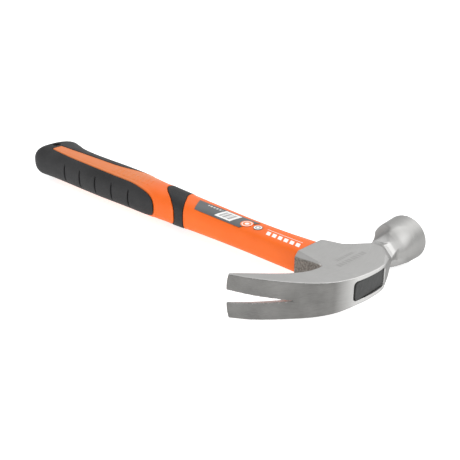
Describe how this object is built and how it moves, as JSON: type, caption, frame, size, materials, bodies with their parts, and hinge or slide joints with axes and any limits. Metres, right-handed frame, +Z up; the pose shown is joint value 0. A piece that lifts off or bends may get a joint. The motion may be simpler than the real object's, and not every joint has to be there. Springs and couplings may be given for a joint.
{
  "type": "claw hammer",
  "caption": "Claw hammer: curved nail claw and round striking face on a steel head, set on a fibreglass handle with an orange jacket and dark rubber grip.",
  "frame": {"origin": "under the middle of the bounding box, at the level of the surface the hammer lies on", "axes": "+X up the handle to the head, +Y out of the striking face, +Z up, square to the cheeks of the head"},
  "size_m": [0.317, 0.1332, 0.0292],
  "materials": {
    "head_steel": "satin, finely brushed along the claws and round the poll",
    "plug_rubber": "matt, slightly uneven",
    "bond_resin": "hardened resin",
    "core_fibreglass": "drawn glass fibre in resin",
    "jacket_plastic": "half gloss, moulded",
    "grip_rubber": "matt, fine moulded grain",
    "label_film": "printed film",
    "round_print": "printed film"
  },
  "bodies": {
    "root": {"hammer_head": "head_steel", "eye_plug": "plug_rubber", "eye_bond": "bond_resin", "fibreglass_core": "core_fibreglass", "handle_jacket": "jacket_plastic", "rear_grip": "grip_rubber", "thumb_band": "grip_rubber", "shaft_label": "label_film", "round_label": "round_print"}
  },
  "joints": []
}
